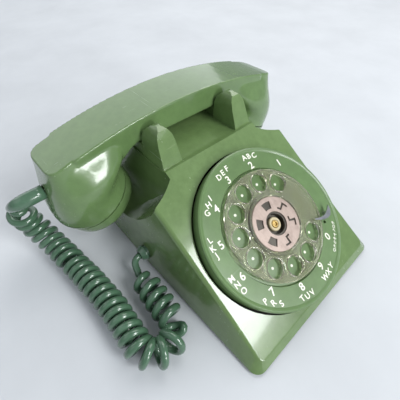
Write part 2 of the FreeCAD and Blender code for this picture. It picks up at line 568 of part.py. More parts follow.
def loopwire(origin, ex, ey, a, b, n, num=32):
    pts = []
    for i in range(num):
        t = 2 * math.pi * (i + 0.5) / num
        c, s = math.cos(t), math.sin(t)
        x = a * math.copysign(abs(c) ** (2.0 / n), c)
        y = b * math.copysign(abs(s) ** (2.0 / n), s)
        pts.append(origin + ex * x + ey * y)
    c = Part.BSplineCurve()
    c.interpolate(pts, PeriodicFlag=True)
    return Part.Wire([c.toShape()])


def cup_frame():
    a = math.radians(CAP_TILT)
    o = V(-HCX, HY, SEAM_Z)
    ex = V(math.cos(a), 0, math.sin(a))      # along the seam, towards the middle and up
    dn = V(math.sin(a), 0, -math.cos(a))     # out of the cap
    return o, ex, V(0, 1, 0), dn


def bulb(inset=0.0):
    o, ex, ey, dn = cup_frame()
    w0 = loopwire(o, ex, ey, CUP_R - inset, CUP_R - inset, 2.0)
    w1 = loopwire(o - dn * 12.0 + V(0.4, 0, 0), ex, ey, CUP_R - 0.9 - inset, CUP_R - 1.2 - inset, 2.25)
    a2 = math.radians(14.0)
    e2 = V(math.cos(a2), 0, math.sin(a2))
    a3 = math.radians(10.0)
    e3 = V(math.cos(a3), 0, math.sin(a3))
    w2 = loopwire(V(-77.2, HY, 68.5), e2, ey, 28.0 - inset, 26.3 - inset, 2.6, 40)
    w3 = loopwire(V(-74.4, HY, 82.5), e3, ey, 26.2 - inset, HANDLE_HALF + 0.8 - inset, 4.4, 48)
    w4 = loopwire(V(-73.4, HY, 98.0), e3, ey, 24.6 - inset, HANDLE_HALF - 0.2 - inset, 5.0, 48)
    return Part.makeLoft([w0, w1, w2, w3, w4], True, False)


bl = bulb()
br_ = bl.mirror(V(0, 0, 0), V(1, 0, 0))
print("bulb", bl.isValid(), bl.Volume)
# grip: arched top, flat underside that turns down into the cups
topc = []
for i in range(0, 25):
    x = -84.0 + 168.0 * i / 24
    topc.append(V(x, 0, crown_z(x)))
arc_top = Part.Arc(topc[0], topc[12], topc[-1]).toShape()
low = [V(84.0, 0, 62.0), V(66.0, 0, 65.0), V(54.0, 0, 71.5), V(46.5, 0, 76.8), V(41.0, 0, GRIP_UNDER), V(-41.0, 0, GRIP_UNDER), V(-46.5, 0, 76.8), V(-54.0, 0, 71.5), V(-66.0, 0, 65.0), V(-84.0, 0, 62.0)]
edges = [arc_top, Part.makeLine(topc[-1], low[0])] + [Part.makeLine(low[i], low[i + 1]) for i in range(len(low) - 1)] + [Part.makeLine(low[-1], topc[0])]
w = Part.Wire(edges)
w.translate(V(0, HY - HANDLE_HALF, 0))
grip = Part.Face(w).extrude(V(0, 2 * HANDLE_HALF, 0))
crown_cut = Part.makeCylinder(CROWN_R, 160.0, V(0, HY - 80.0, CROWN_Z - CROWN_R), V(0, 1, 0))
grip = safe_fillet(grip, 3.0, lambda e: mid(e).z < 80 and e.Length > 4 and abs(abs(mid(e).y - HY) - HANDLE_HALF) < 0.2)
hs = grip.fuse([bl, br_])
hs = hs.common(crown_cut)
hs = hs.removeSplitter()
print("handset outer", hs.isValid(), hs.Volume, len(hs.Solids))
o, ex, ey, dn = cup_frame()
# hollow of each cup, open at the seam, and a bore through the grip for the leads
rot = Rotation(V(0, 0, 1), dn)
for sd in (-1, 1):
    cavity = Part.makeCylinder(CUP_R - 3.2, 20.0, o - dn * 14.0, dn)
    if sd > 0:
        cavity = cavity.mirror(V(0, 0, 0), V(1, 0, 0))
    hs = hs.cut(cavity)
hs = hs.cut(cyl(3.4, 124.0, (-62.0, HY, 85.4), (1, 0, 0)))
# bores down into the cups
for sd in (-1, 1):
    hs = hs.cut(cyl(3.0, 33.0, (sd * 62.0, HY, 53.0)))
# cord hole in the lower outer wall of the transmitter cup
hs = hs.cut(cyl(3.02, 16.0, (-94.0, HY - 1.5, 64.5), (-1, 0, 0)))
parts["handset_body"] = hs
print("handset", hs.isValid(), hs.Volume, len(hs.Solids))


def cap_solid():
    prof = [(0.0, 9.4), (14.0, 9.2), (19.0, 10.4), (24.0, CAP_H), (26.8, CAP_H - 0.6), (CUP_R - 0.4, 8.2), (CUP_R, 5.5), (CUP_R, 0.45), (CUP_R - 2.6, 0.45), (CUP_R - 2.6, 6.4), (23.0, 8.0), (0.0, 7.4)]
    s = revolve(prof)
    holes = [cyl(1.1, 6.0, (0, 0, 6.0))]
    for ring, n in ((5.0, 6), (9.6, 12)):
        for k in range(n):
            a = 2 * math.pi * k / n
            holes.append(cyl(1.1, 6.0, (ring * math.cos(a), ring * math.sin(a), 6.0)))
    s = s.cut(Part.makeCompound(holes))
    return s


def place_cap(s, sd):
    s = s.copy()
    s.Placement = Placement(o, rot)
    if sd > 0:
        s = s.mirror(V(0, 0, 0), V(1, 0, 0))
    return s


parts["transmitter_cap"] = place_cap(cap_solid(), -1)
parts["receiver_cap"] = place_cap(cap_solid(), 1)
tu = revolve([(0, -9.0), (18.0, -9.0), (21.0, -6.0), (24.0, -5.6), (24.0, -1.0), (22.0, 4.4), (0, 5.2)])
parts["transmitter_unit"] = place_cap(tu, -1)
ru = revolve([(0, -10.0), (14.0, -10.0), (14.0, -6.0), (22.6, -5.0), (22.6, 2.8), (18.0, 5.4), (0, 5.8)])
parts["receiver_unit"] = place_cap(ru, 1)
cc = revolve([(8.0, -13.8), (20.0, -13.8), (20.0, -12.6), (23.0, -12.6), (24.6, -11.6), (24.6, -10.0), (8.0, -10.0)])
cc = cc.cut(box(-2.0, 2.0, -26.0, 26.0, -11.0, -9.0))
parts["contact_cup"] = place_cap(cc, -1)

# strain relief on the handset: tapered sleeve, canted down with the cord
rel = revolve([(0.0, -6.0), (3.0, -6.0), (3.0, 0.0), (4.6, 0.0), (4.4, 2.0), (3.6, 7.0), (0.0, 7.0)])
rel.rotate(V(0, 0, 0), V(0, 1, 0), -90)
rel.translate(V(-104.6, HY - 1.5, 64.5))
parts["handset_cord_relief"] = rel

# ------------------------------------------------------------------ handset cord
def route(pts, name, dia):
    # straight runs joined by tangent arcs
    P = [V(*p) for p in pts]
    edges = []
    prev = P[0]
    rads = []
    total = 0.0
    for i in range(1, len(P) - 1):
        a, bq, c = P[i - 1], P[i], P[i + 1]
        u = (a - bq)
        v = (c - bq)
        lu, lv = u.Length, v.Length
        u.normalize()
        v.normalize()
        turn = math.pi - u.getAngle(v)
        r = 0.45 * min(lu, lv) / math.tan(turn / 2.0)
        tl = 0.45 * min(lu, lv)
        rads.append((round(r, 1), round(math.degrees(turn), 1)))
        s = bq + u * tl
        e = bq + v * tl
        bis = (u + v)
        bis.normalize()
        dc = r / math.cos(turn / 2.0)
        m = bq + bis * (dc - r)
        if prev.distanceToPoint(s) > 1e-6:
            edges.append(Part.LineSegment(prev, s).toShape())
            total += prev.distanceToPoint(s)
        edges.append(Part.Arc(s, m, e).toShape())
        total += r * turn
        prev = e
    edges.append(Part.LineSegment(prev, P[-1]).toShape())
    total += prev.distanceToPoint(P[-1])
    wire = Part.Wire(edges)
    t0 = (P[1] - P[0])
    t0.normalize()
    circ = Part.Wire([Part.makeCircle(dia / 2.0, P[0], t0)])
    s = wire.makePipeShell([circ], True, True)
    if s.Volume < 0:
        s.reverse()
    want = math.pi * dia * dia / 4.0 * total
    print(name, "length %.1f" % total, "volume ratio %.4f" % (s.Volume / want), "valid", s.isValid(), "min z %.2f" % s.BoundBox.ZMin, "radii/turns", rads)
    return s


LEAD_TOP = [(-111.62, 105.0, 64.5), (-117.8, 105.0, 64.5), (-123.0, 108.8, 61.2), (-124.9, 115.4, 55.2), (-123.3, 121.4, 47.9), (-122.6, 122.6, 41.0)]
COIL = [(-122.6, 122.6, 41.0), (-121.6, 124.2, 31.5), (-119.2, 119.5, 21.5), (-116.0, 106.5, 13.0), (-113.4, 89.0, 10.3), (-110.0, 65.0, 10.0), (-107.9, 42.0, 9.9), (-108.4, 21.0, 10.0),
        (-109.2, 1.5, 9.9), (-97.0, -5.9, 10.0), (-84.8, 1.5, 10.0), (-84.0, 16.0, 9.9), (-83.4, 29.5, 10.0), (-82.6, 43.5, 9.9)]
LEAD_BASE = [(-82.6, 43.5, 9.9), (-82.30, 48.8, 9.86), (-81.3, 53.2, 11.8), (-78.9, 56.7, 13.1), (-74.62, 57.1, 13.3)]
parts["handset_cord_coil"] = route(COIL, "coil", COIL_D)
parts["handset_cord_lead_top"] = route(LEAD_TOP, "lead top", LEAD_D)
parts["handset_cord_lead_base"] = route(LEAD_BASE, "lead base", LEAD_D)

# ------------------------------------------------------------------ export
for name, s in parts.items():
    s = s.copy()
    s.translate(V(0, Y_SHIFT, 0))
    bb = s.BoundBox
    print("%-24s valid %s solids %d vol %.0f  x %.1f..%.1f y %.1f..%.1f z %.1f..%.1f" % (name, s.isValid(), len(s.Solids), s.Volume, bb.XMin, bb.XMax, bb.YMin, bb.YMax, bb.ZMin, bb.ZMax))
    s.exportStep("parts/%s.step" % name)
print(len(parts), "nodes, shift", Y_SHIFT)
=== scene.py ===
import bpy
import bmesh
import json
import math
import numpy as np
from mathutils import Vector, Matrix


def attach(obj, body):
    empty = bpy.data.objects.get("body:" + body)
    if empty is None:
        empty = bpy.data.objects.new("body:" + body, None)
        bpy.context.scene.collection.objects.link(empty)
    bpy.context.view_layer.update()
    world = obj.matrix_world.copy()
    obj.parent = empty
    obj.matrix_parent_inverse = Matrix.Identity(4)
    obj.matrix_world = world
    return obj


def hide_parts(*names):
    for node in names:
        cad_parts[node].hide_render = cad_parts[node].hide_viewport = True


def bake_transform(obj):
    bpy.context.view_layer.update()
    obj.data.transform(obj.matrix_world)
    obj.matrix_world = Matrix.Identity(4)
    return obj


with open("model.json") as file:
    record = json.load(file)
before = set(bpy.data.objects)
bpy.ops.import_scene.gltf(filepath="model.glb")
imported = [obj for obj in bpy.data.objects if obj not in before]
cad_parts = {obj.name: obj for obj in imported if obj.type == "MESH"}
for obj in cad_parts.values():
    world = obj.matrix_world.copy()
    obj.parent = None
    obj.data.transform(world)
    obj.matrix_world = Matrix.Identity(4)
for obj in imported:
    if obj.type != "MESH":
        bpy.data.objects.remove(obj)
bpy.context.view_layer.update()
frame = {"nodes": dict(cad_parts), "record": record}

SC = bpy.context.scene
NODES = frame["nodes"]
BODY_OF = {n: b for b, ns in frame["record"]["behaviour"]["bodies"].items() for n in ns}

# ------------------------------------------------------------------ shared layout (millimetres in, metres out)
YS = -0.5 * (-50.8 + 170.0)
TILT = math.radians(31.2)
DIAL_Z = 40.84


def M(x, y, z):
    return Vector((x / 1000.0, (y + YS) / 1000.0, z / 1000.0))


def D(x, s, h):
    # point on the dial: x right, s up the slope, h above the number plate floor
    return M(x, s * math.cos(TILT) - h * math.sin(TILT), DIAL_Z + s * math.sin(TILT) + h * math.cos(TILT))


def clock(deg, r):
    a = math.radians(deg)
    return r * math.sin(a), r * math.cos(a)


# ------------------------------------------------------------------ camera
cam_data = bpy.data.cameras.new("camera")
cam = bpy.data.objects.new("camera", cam_data)
SC.collection.objects.link(cam)
SC.camera = cam
R_ = Vector((0.741094, -0.671400, -0.000857))
DN = Vector((-0.505102, -0.556692, -0.659520))
FW = Vector((0.442325, 0.489199, -0.751687))
P_ = M(-108.736, -46.458, 188.039)
cam.matrix_world = Matrix(((R_.x, -DN.x, -FW.x, P_.x), (R_.y, -DN.y, -FW.y, P_.y), (R_.z, -DN.z, -FW.z, P_.z), (0, 0, 0, 1)))
cam_data.sensor_width = 36.0
cam_data.lens = 24.3
cam_data.clip_start = 0.01
cam_data.clip_end = 20.0

# ------------------------------------------------------------------ handset cord
WIRE = 0.0050
COIL_OD = 0.0190
LEAD_TOP = [(-111.62, 105.0, 64.5), (-117.8, 105.0, 64.5), (-123.0, 108.8, 61.2), (-124.9, 115.4, 55.2), (-123.3, 121.4, 47.9), (-122.6, 122.6, 41.0)]
COIL = [(-122.6, 122.6, 41.0), (-121.6, 124.2, 31.5), (-119.2, 119.5, 21.5), (-116.0, 106.5, 13.0), (-113.4, 89.0, 10.3), (-110.0, 65.0, 10.0), (-107.9, 42.0, 9.9), (-108.4, 21.0, 10.0),
        (-109.2, 1.5, 9.9), (-97.0, -5.9, 10.0), (-84.8, 1.5, 10.0), (-84.0, 16.0, 9.9), (-83.4, 29.5, 10.0), (-82.6, 43.5, 9.9)]
LEAD_BASE = [(-82.6, 43.5, 9.9), (-82.30, 48.8, 9.86), (-81.3, 53.2, 11.8), (-78.9, 56.7, 13.1), (-74.62, 57.1, 13.3)]


def spline_points(name, pts, res=40):
    cu = bpy.data.curves.new(name, 'CURVE')
    cu.dimensions = '3D'
    sp = cu.splines.new('NURBS')
    sp.points.add(len(pts) - 1)
    for i, p in enumerate(pts):
        sp.points[i].co = (p[0], p[1], p[2], 1.0)
    sp.order_u = 3
    sp.use_endpoint_u = True
    sp.resolution_u = res
    ob = bpy.data.objects.new(name, cu)
    SC.collection.objects.link(ob)
    bpy.context.view_layer.update()
    me = bpy.data.meshes.new_from_object(ob)
    out = np.array([v.co[:] for v in me.vertices], float)
    bpy.data.objects.remove(ob)
    bpy.data.curves.remove(cu)
    bpy.data.meshes.remove(me)
    keep = [0]
    for i in range(1, len(out)):
        if np.linalg.norm(out[i] - out[keep[-1]]) > 1e-6:
            keep.append(i)
    return out[keep]


def resample(pts, step):
    seg = np.linalg.norm(np.diff(pts, axis=0), axis=1)
    s = np.concatenate([[0], np.cumsum(seg)])
    n = max(2, int(math.ceil(s[-1] / step)))
    t = np.linspace(0, s[-1], n + 1)
    return np.stack([np.interp(t, s, pts[:, k]) for k in range(3)], 1), t


def frames(pts, first=(0, 0, 1)):
    tan = np.gradient(pts, axis=0)
    tan /= np.linalg.norm(tan, axis=1)[:, None]
    n = np.array(first, float)
    n -= tan[0] * n.dot(tan[0])
    n /= np.linalg.norm(n)
    N = [n]
    for i in range(1, len(pts)):
        n = N[-1] - tan[i] * N[-1].dot(tan[i])
        n /= np.linalg.norm(n)
        N.append(n)
    N = np.array(N)
    B = np.cross(tan, N)
    return tan, N, B


def tube_mesh(name, pts, radii, sides=12, caps=True):
    tan, N, B = frames(pts)
    th = np.linspace(0, 2 * math.pi, sides, endpoint=False)
    verts = []
    for i in range(len(pts)):
        for a in th:
            verts.append(pts[i] + (N[i] * math.cos(a) + B[i] * math.sin(a)) * radii[i])
    faces = []
    for i in range(len(pts) - 1):
        for j in range(sides):
            k = (j + 1) % sides
            faces.append((i * sides + j, i * sides + k, (i + 1) * sides + k, (i + 1) * sides + j))
    if caps:
        faces.append(tuple(range(sides - 1, -1, -1)))
        faces.append(tuple((len(pts) - 1) * sides + j for j in range(sides)))
    me = bpy.data.meshes.new(name)
    me.from_pydata([tuple(v) for v in verts], [], faces)
    me.validate()
    for p in me.polygons:
        p.use_smooth = True
    ob = bpy.data.objects.new(name, me)
    SC.collection.objects.link(ob)
    return ob


route = [tuple(M(*p)) for p in LEAD_TOP[:-1] + COIL + LEAD_BASE[1:]]
line, s_line = resample(spline_points("cord_route", route), 0.0002)
total = s_line[-1]
tan, N, B = frames(line)
curv = np.linalg.norm(np.gradient(tan, axis=0), axis=1) / 0.0002
ker = np.ones(60) / 60
curv = np.convolve(curv, ker, mode='same')
# where the turns begin and end along the line
s0, s1 = 0.0290, total - 0.0175


def smooth(a, b, x):
    t = np.clip((x - a) / (b - a), 0, 1)
    return t * t * (3 - 2 * t)


amp = (COIL_OD - WIRE) / 2.0
env = smooth(s0 - 0.004, s0 + 0.010, s_line) * (1 - smooth(s1 - 0.008, s1 + 0.005, s_line))
flip = s0 + 0.176               # the winding changes hand a little after the loop
pitch = np.where(s_line < flip, 0.00615, 0.0074)
pitch = pitch + 0.0022 * np.clip(curv / 90.0, 0, 1.2)
pitch += 0.0011 * np.exp(-((s_line - (s0 + 0.012)) / 0.010) ** 2)
pitch += 0.0032 * np.exp(-((s_line - (s0 + 0.064)) / 0.0045) ** 2)
pitch += 0.0016 * np.exp(-((s_line - (s1 - 0.006)) / 0.008) ** 2)
pitch *= 1 + 0.035 * np.sin(s_line * 410.0) + 0.03 * np.sin(s_line * 151.0 + 1.3)
hand = -1 + 2 * smooth(flip - 0.004, flip + 0.004, s_line)
on = smooth(s0 - 0.006, s0, s_line) * (1 - smooth(s1 + 0.001, s1 + 0.007, s_line))
phase = np.cumsum(hand * on * 2 * math.pi / pitch) * 0.0002 + 2.2
amp_s = amp * env * (1 + 0.02 * np.sin(s_line * 233.0))
helix = line + (N * np.cos(phase)[:, None] + B * np.sin(phase)[:, None]) * amp_s[:, None]
# even steps along the wound cord
helix, s_h = resample(helix, 0.00165)
# nothing of the cord below the table top
low = helix[:, 2].min() - WIRE / 2
if low < 0.0003:
    helix[:, 2] += np.where(helix[:, 2] < 0.03, (0.0003 - low) * (1 - helix[:, 2] / 0.03), 0)
rad = np.full(len(helix), WIRE / 2)
cord = tube_mesh("handset_cord", helix, rad, sides=12)
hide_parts("handset_cord_coil", "handset_cord_lead_top", "handset_cord_lead_base")
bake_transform(cord)

# moulded sleeve where the cord leaves the handset, tapering along the cord
sl_n = int(0.021 / 0.0005)
sl_pts = resample(line[: int(0.021 / 0.0002)], 0.0007)[0]
sl_pts = np.vstack([np.array(M(-103.6, 105.0, 64.5))[None, :], np.array(M(-108.0, 105.0, 64.5))[None, :], sl_pts])
sl_u = np.linspace(0, 1, len(sl_pts))
sl_r = 0.0047 - 0.0017 * smooth(0.1, 1.0, sl_u)
sl_r[-1] = 0.00265
sl_r[-2] = 0.00285
sleeve = tube_mesh("handset_cord_sleeve", sl_pts, sl_r, sides=24)
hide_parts("handset_cord_relief")
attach(sleeve, "handset")


# ------------------------------------------------------------------ materials
def srgb(r, g, b):
    out = []
    for c in (r, g, b):
        c = c / 255.0
        out.append(c / 12.92 if c <= 0.04045 else ((c + 0.055) / 1.055) ** 2.4)
    return tuple(out) + (1.0,)


def new_mat(name):
    m = bpy.data.materials.new(name)
    m.use_nodes = True
    nt = m.node_tree
    nt.nodes.clear()
    out = nt.nodes.new("ShaderNodeOutputMaterial")
    bs = nt.nodes.new("ShaderNodeBsdfPrincipled")
    nt.links.new(bs.outputs[0], out.inputs[0])
    return m, nt, bs


def coords(nt, scale=(1, 1, 1), rot=(0, 0, 0)):
    tc = nt.nodes.new("ShaderNodeTexCoord")
    mp = nt.nodes.new("ShaderNodeMapping")
    mp.inputs["Scale"].default_value = scale
    mp.inputs["Rotation"].default_value = rot
    nt.links.new(tc.outputs["Object"], mp.inputs["Vector"])
    return mp.outputs["Vector"]


def noise(nt, vec, scale, detail=3.0, rough=0.5):
    n = nt.nodes.new("ShaderNodeTexNoise")
    n.inputs["Scale"].default_value = scale
    n.inputs["Detail"].default_value = detail
    n.inputs["Roughness"].default_value = rough
    nt.links.new(vec, n.inputs["Vector"])
    return n.outputs["Fac"]


def ramp(nt, fac, stops):
    r = nt.nodes.new("ShaderNodeValToRGB")
    e = r.color_ramp.elements
    while len(e) < len(stops):
        e.new(0.5)
    for i, (p, c) in enumerate(stops):
        e[i].position = p
        e[i].color = c if len(c) == 4 else tuple(c) + (1.0,)
    nt.links.new(fac, r.inputs["Fac"])
    return r.outputs["Color"]


def mixc(nt, fac, a, b, mode='MIX'):
    m = nt.nodes.new("ShaderNodeMix")
    m.data_type = 'RGBA'
    m.blend_type = mode
    for sock, v in ((m.inputs["Factor"], fac), (m.inputs["A"], a), (m.inputs["B"], b)):
        pass
    ia = [s for s in m.inputs if s.type == 'RGBA']
    if isinstance(fac, (int, float)):
        m.inputs[0].default_value = fac
    else:
        nt.links.new(fac, m.inputs[0])
    for s, v in zip(ia, (a, b)):
        if isinstance(v, tuple):
            s.default_value = v
        else:
            nt.links.new(v, s)
    return [o for o in m.outputs if o.type == 'RGBA'][0]


def maths(nt, op, a, b=0.0, c=None):
    m = nt.nodes.new("ShaderNodeMath")
    m.operation = op
    for i, v in enumerate((a, b) if c is None else (a, b, c)):
        if isinstance(v, (int, float)):
            m.inputs[i].default_value = v
        else:
            nt.links.new(v, m.inputs[i])
    return m.outputs[0]


def bump(nt, bs, h, strength, dist, prev=None):
    b = nt.nodes.new("ShaderNodeBump")
    b.inputs["Strength"].default_value = strength
    b.inputs["Distance"].default_value = dist
    nt.links.new(h, b.inputs["Height"])
    if prev is not None:
        nt.links.new(prev, b.inputs["Normal"])
    nt.links.new(b.outputs["Normal"], bs.inputs["Normal"])
    return b.outputs["Normal"]


def plastic(name, base, dark, light, rough=0.2, peel=0.06, scratch=0.5, coat=0.35, wear=0.35, scale=1.0):
    m, nt, bs = new_mat(name)
    v = coords(nt)
    # slow shift of shade, then fine mottling
    n1 = noise(nt, v, 14.0 * scale, 3.0)
    n2 = noise(nt, v, 160.0 * scale, 4.0, 0.6)
    c1 = ramp(nt, n1, [(0.30, dark), (0.52, base), (0.74, light)])
    c2 = ramp(nt, n2, [(0.35, (0.93, 0.93, 0.93, 1)), (0.65, (1.05, 1.05, 1.05, 1))])
    col = mixc(nt, 1.0, c1, c2, 'MULTIPLY')
    # scratches in two directions
    sc = None
    for k, (sx, rot, cut) in enumerate((((18, 900, 330), (0.2, 0.5, 0.35), 0.70), ((700, 22, 400), (0.4, 0.1, -0.5), 0.715), ((30, 380, 1500), (0.9, 0.3, 1.1), 0.71))):
        nz = noise(nt, coords(nt, tuple(float(q) for q in sx), rot), 1.0, 2.0)
        r = ramp(nt, nz, [(cut, (0, 0, 0, 1)), (cut + 0.035, (1, 1, 1, 1))])
        sc = r if sc is None else mixc(nt, 1.0, sc, r, 'LIGHTEN')
    # scratches only in patches
    patch = ramp(nt, noise(nt, v, 22.0, 2.0), [(0.46, (0, 0, 0, 1)), (0.62, (1, 1, 1, 1))])
    sc = mixc(nt, 1.0, sc, patch, 'MULTIPLY')
    col = mixc(nt, maths(nt, 'MULTIPLY', sc, 0.30 * scratch), col, srgb(196, 208, 182))
    # rubbed edges
    geo = nt.nodes.new("ShaderNodeNewGeometry")
    edge = ramp(nt, geo.outputs["Pointiness"], [(0.52, (0, 0, 0, 1)), (0.60, (1, 1, 1, 1))])
    edge = mixc(nt, 1.0, edge, ramp(nt, n2, [(0.40, (0.2, 0.2, 0.2, 1)), (0.60, (1, 1, 1, 1))]), 'MULTIPLY')
    col = mixc(nt, maths(nt, 'MULTIPLY', edge, 0.22 * wear), col, srgb(170, 188, 150))
    nt.links.new(col, bs.inputs["Base Color"])
    rr = maths(nt, 'MULTIPLY_ADD', noise(nt, v, 60.0, 4.0), 0.12, rough - 0.05)
    rr = maths(nt, 'ADD', rr, maths(nt, 'MULTIPLY', sc, 0.25 * scratch))
    nt.links.new(rr, bs.inputs["Roughness"])
    bs.inputs["IOR"].default_value = 1.5
    bs.inputs["Coat Weight"].default_value = coat
    bs.inputs["Coat Roughness"].default_value = 0.06
    nb = bump(nt, bs, noise(nt, v, 420.0, 2.0), peel, 0.0002)
    nb = bump(nt, bs, noise(nt, v, 48.0, 2.0), peel * 1.4, 0.0010, nb)
    bump(nt, bs, sc, 0.25 * scratch, 0.00006, nb)
    return m


def metal(name, base, rough=0.3, grain=(40, 40, 900), metallic=1.0, spots=0.3, dark=None):
    m, nt, bs = new_mat(name)
    v = coords(nt)
    g = noise(nt, coords(nt, tuple(float(q) for q in grain)), 1.0, 3.0)
    n1 = noise(nt, v, 180.0, 4.0, 0.65)
    dk = dark or tuple(c * 0.6 for c in base[:3]) + (1,)
    col = ramp(nt, n1, [(0.30, dk), (0.55, base)])
    col = mixc(nt, spots, base, col)
    col = mixc(nt, 0.25, col, ramp(nt, g, [(0.4, tuple(c * 0.8 for c in base[:3]) + (1,)), (0.6, tuple(min(1, c * 1.12) for c in base[:3]) + (1,))]))
    nt.links.new(col, bs.inputs["Base Color"])
    bs.inputs["Metallic"].default_value = metallic
    nt.links.new(maths(nt, 'MULTIPLY_ADD', n1, 0.22, rough - 0.08), bs.inputs["Roughness"])
    nb = bump(nt, bs, g, 0.12, 0.00008)
    bump(nt, bs, noise(nt, v, 700.0, 3.0), 0.10, 0.00006, nb)
    return m


def simple(name, base, dark, rough, fine=500.0, bumpy=0.15):
    m, nt, bs = new_mat(name)
    v = coords(nt)
    n1 = noise(nt, v, 90.0, 4.0, 0.6)
    nt.links.new(ramp(nt, n1, [(0.32, dark), (0.68, base)]), bs.inputs["Base Color"])
    nt.links.new(maths(nt, 'MULTIPLY_ADD', n1, 0.2, rough - 0.1), bs.inputs["Roughness"])
    bump(nt, bs, noise(nt, v, fine, 3.0), bumpy, 0.0001)
    return m


MAT = {}
MAT["housing_green"] = plastic("housing_plastic", srgb(101, 126, 77), srgb(95, 119, 72), srgb(106, 131, 83), rough=0.20, scratch=0.8, coat=0.4)
MAT["handset_green"] = plastic("handset_plastic", srgb(101, 127, 80), srgb(95, 121, 75), srgb(107, 132, 86), rough=0.18, scratch=0.45, coat=0.4)
MAT["plate_green"] = plastic("plate_plastic", srgb(95, 122, 76), srgb(90, 116, 71), srgb(99, 126, 80), rough=0.30, peel=0.05, scratch=0.35, coat=0.15)
MAT["cord_green"] = plastic("cord_vinyl", srgb(72, 103, 80), srgb(66, 96, 74), srgb(80, 110, 88), rough=0.20, peel=0.10, scratch=0.15, coat=0.45, wear=0.0, scale=2.5)
MAT["dot_white"] = simple("white_paint", srgb(240, 240, 228), srgb(222, 222, 206), 0.45, 1500.0, 0.08)
MAT["beige"] = metal("beige_stamping", srgb(176, 158, 148), 0.42, (500, 60, 60), 0.35, 0.55, srgb(132, 112, 104))
MAT["dark_metal"] = metal("dark_plating", srgb(88, 84, 78), 0.38, (60, 60, 700), 0.85, 0.5, srgb(44, 40, 38))
MAT["steel"] = metal("zinc_steel", srgb(178, 178, 174), 0.34, (30, 600, 30), 1.0, 0.45, srgb(120, 118, 112))
MAT["bright"] = metal("stainless", srgb(206, 208, 212), 0.20, (40, 40, 700), 1.0, 0.15)
MAT["brass"] = metal("brass", srgb(196, 168, 108), 0.30, (500, 40, 40), 1.0, 0.5, srgb(140, 108, 60))
MAT["cream"] = simple("cream_nylon", srgb(206, 194, 160), srgb(176, 160, 122), 0.45, 900.0, 0.10)
MAT["rubber"] = simple("black_rubber", srgb(44, 44, 42), srgb(26, 26, 26), 0.70, 1200.0, 0.30)
MAT["black_plastic"] = simple("black_moulding", srgb(42, 42, 40), srgb(28, 28, 28), 0.40, 700.0, 0.12)
MAT["copper"] = metal("copper_winding", srgb(168, 98, 58), 0.34, (20, 20, 3500), 1.0, 0.3)


def clear_plastic(name):
    m, nt, bs = new_mat(name)
    v = coords(nt)
    n1 = noise(nt, v, 60.0, 3.0, 0.5)
    col = ramp(nt, n1, [(0.30, srgb(232, 228, 206)), (0.70, srgb(246, 244, 230))])
    nt.links.new(col, bs.inputs["Base Color"])
    sc = ramp(nt, noise(nt, coords(nt, (25.0, 900.0, 700.0), (0.2, 0.3, 0.6)), 1.0, 2.0), [(0.66, (0, 0, 0, 1)), (0.74, (1, 1, 1, 1))])
    nt.links.new(maths(nt, 'ADD', maths(nt, 'MULTIPLY_ADD', n1, 0.05, 0.03), maths(nt, 'MULTIPLY', sc, 0.15)), bs.inputs["Roughness"])
    bs.inputs["IOR"].default_value = 1.36
    bs.inputs["Transmission Weight"].default_value = 0.90
    bump(nt, bs, sc, 0.15, 0.00004)
    return m


MAT["clear"] = clear_plastic("clear_acrylic")

NODE_SLOT = {s["node"]: s["material_slot"] for s in frame["record"]["subparts"]}
for name, ob in NODES.items():
    ob.data.materials.clear()
    ob.data.materials.append(MAT[NODE_SLOT[name]])
for ob in (cord, sleeve):
    ob.data.materials.append(MAT["cord_green"])


# ------------------------------------------------------------------ finished copies of the visible CAD pieces
def tidy(node, name=None, bevel=0.0004, segments=2, angle=32.0, dissolve=1.2, weld=2e-6, smooth_angle=40.0):
    src = NODES[node]
    me = src.data.copy()
    ob = bpy.data.objects.new(name or node + "_finish", me)
    SC.collection.objects.link(ob)
    bm = bmesh.new()
    bm.from_mesh(me)
    bmesh.ops.remove_doubles(bm, verts=bm.verts, dist=weld)
    if dissolve:
        bmesh.ops.dissolve_limit(bm, angle_limit=math.radians(dissolve), verts=bm.verts, edges=bm.edges)
    bmesh.ops.recalc_face_normals(bm, faces=bm.faces)
    bm.to_mesh(me)
    bm.free()
    if "custom_normal" in me.attributes:
        me.attributes.remove(me.attributes["custom_normal"])
    for p in me.polygons:
        p.use_smooth = True
    if bevel:
        b = ob.modifiers.new("bevel", 'BEVEL')
        b.width = bevel
        b.segments = segments
        b.limit_method = 'ANGLE'
        b.angle_limit = math.radians(angle)
        b.harden_normals = False
        b.use_clamp_overlap = True
        b.miter_outer = 'MITER_ARC'
        w = ob.modifiers.new("normals", 'WEIGHTED_NORMAL')
        w.keep_sharp = False
        w.weight = 60
    else:
        me.set_sharp_from_angle(angle=math.radians(smooth_angle))
    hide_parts(node)
    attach(ob, BODY_OF[node])
    return ob


CROWN_TOP = 97.600
SEAM_Z, SEAM_X, SEAM_TILT, SEAM_SIGN = 44.000, 77.000, math.radians(25.000), 1.0


